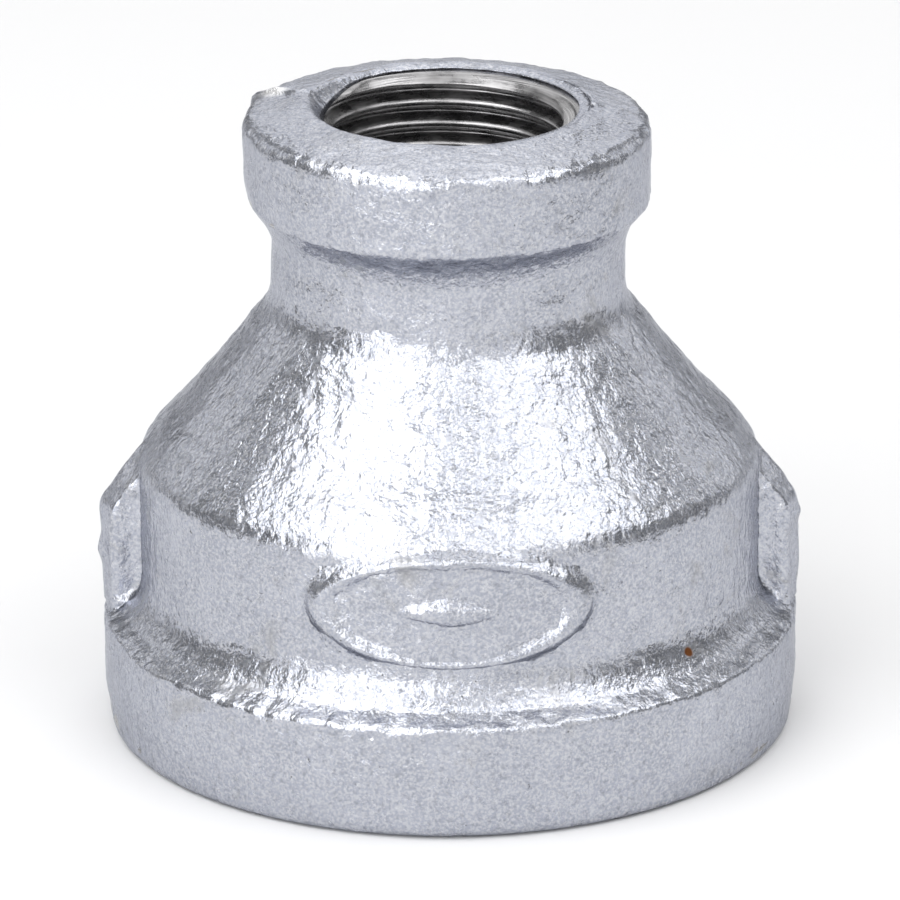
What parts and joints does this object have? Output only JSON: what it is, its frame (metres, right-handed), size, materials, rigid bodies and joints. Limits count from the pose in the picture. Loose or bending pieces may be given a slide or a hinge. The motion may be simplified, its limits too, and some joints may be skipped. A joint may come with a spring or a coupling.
{
  "type": "concentric reducer",
  "caption": "Galvanised malleable iron concentric reducing coupling: a wide banded socket tapers through a cone to a narrow banded socket, both internally threaded.",
  "frame": {"origin": "centre of the large end face, which the part stands on", "axes": "+Z along the bore from the large end to the small end; +X through one side rib; the oval cast pad faces -Y"},
  "size_m": [0.0574, 0.057, 0.0523],
  "materials": {
    "bare_iron": "tapped and chamfered malleable iron, dark, bright on the thread crests",
    "galvanised_zinc": "hot-dip zinc over a sand-cast skin, pale grey, lumpy, satin with bright patches"
  },
  "bodies": {
    "root": {"iron_casting": "bare_iron", "zinc_coating_outside": "galvanised_zinc", "zinc_coating_waterway": "galvanised_zinc"}
  },
  "joints": []
}
